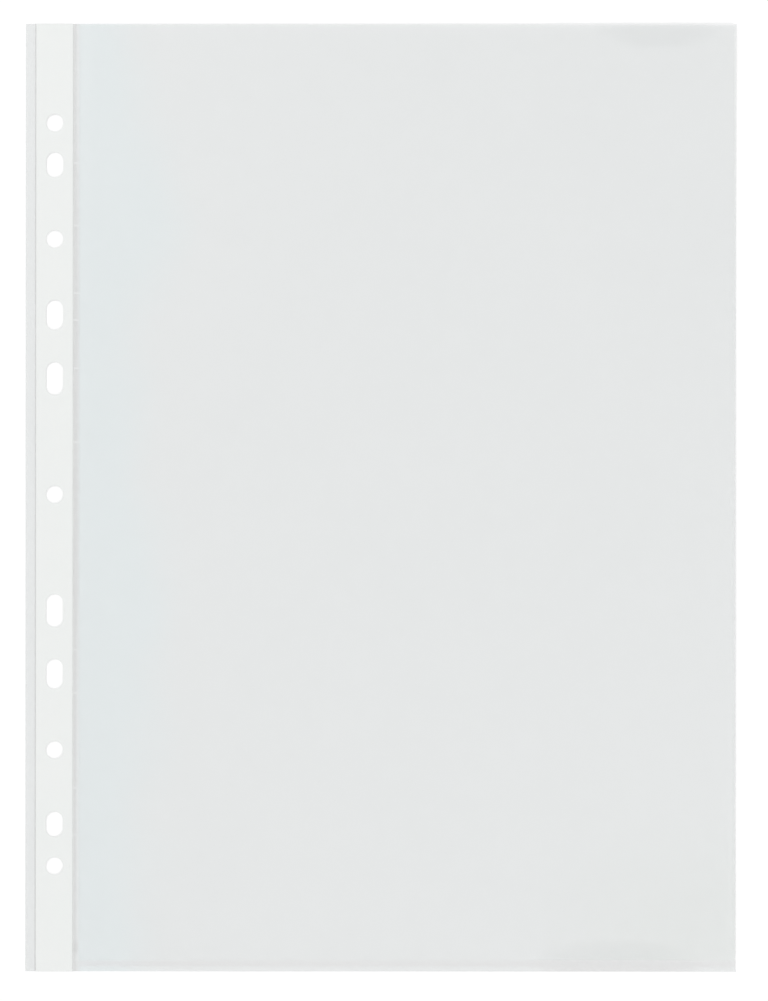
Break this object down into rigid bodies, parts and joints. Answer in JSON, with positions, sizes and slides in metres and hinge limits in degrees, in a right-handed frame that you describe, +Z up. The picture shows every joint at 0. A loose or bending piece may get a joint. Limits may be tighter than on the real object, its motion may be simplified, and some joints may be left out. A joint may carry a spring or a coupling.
{
  "type": "sheet protector",
  "caption": "Flat clear film pocket for loose paper, open at the top, with a punched white binding strip that fits ring binders.",
  "frame": {"origin": "middle of the back face, where the sheet lies on a table", "axes": "+X from the binding margin to the folded side, +Y towards the open mouth, +Z up out of the front film"},
  "size_m": [0.2294, 0.306, 0.0004],
  "materials": {
    "clear_film": "translucent polypropylene film with a fine grain, soft sheen",
    "welded_film": "two layers of polypropylene film fused by heat, slightly hazy and uneven",
    "white_strip": "opaque white polypropylene strip, satin"
  },
  "bodies": {
    "binding_margin": {"edge_weld": "welded_film", "margin_back_film": "clear_film", "reinforcing_strip": "white_strip", "margin_front_film": "clear_film", "side_weld": "welded_film"},
    "pocket": {"pocket_back_film": "clear_film", "bottom_weld": "welded_film", "right_fold": "clear_film"},
    "front_panel": {"pocket_front_film": "clear_film"}
  },
  "joints": [
    {"name": "page_turn", "type": "hinge", "parent": "binding_margin", "child": "pocket", "pos_m": [-0.09745, 0, 0.00044], "axis": [0, -1, 0], "range_deg": [0, 90]},
    {"name": "mouth_open", "type": "hinge", "parent": "pocket", "child": "front_panel", "pos_m": [0.00815, -0.1493, 0.00044], "axis": [1, 0, 0], "range_deg": [0, 5]}
  ]
}
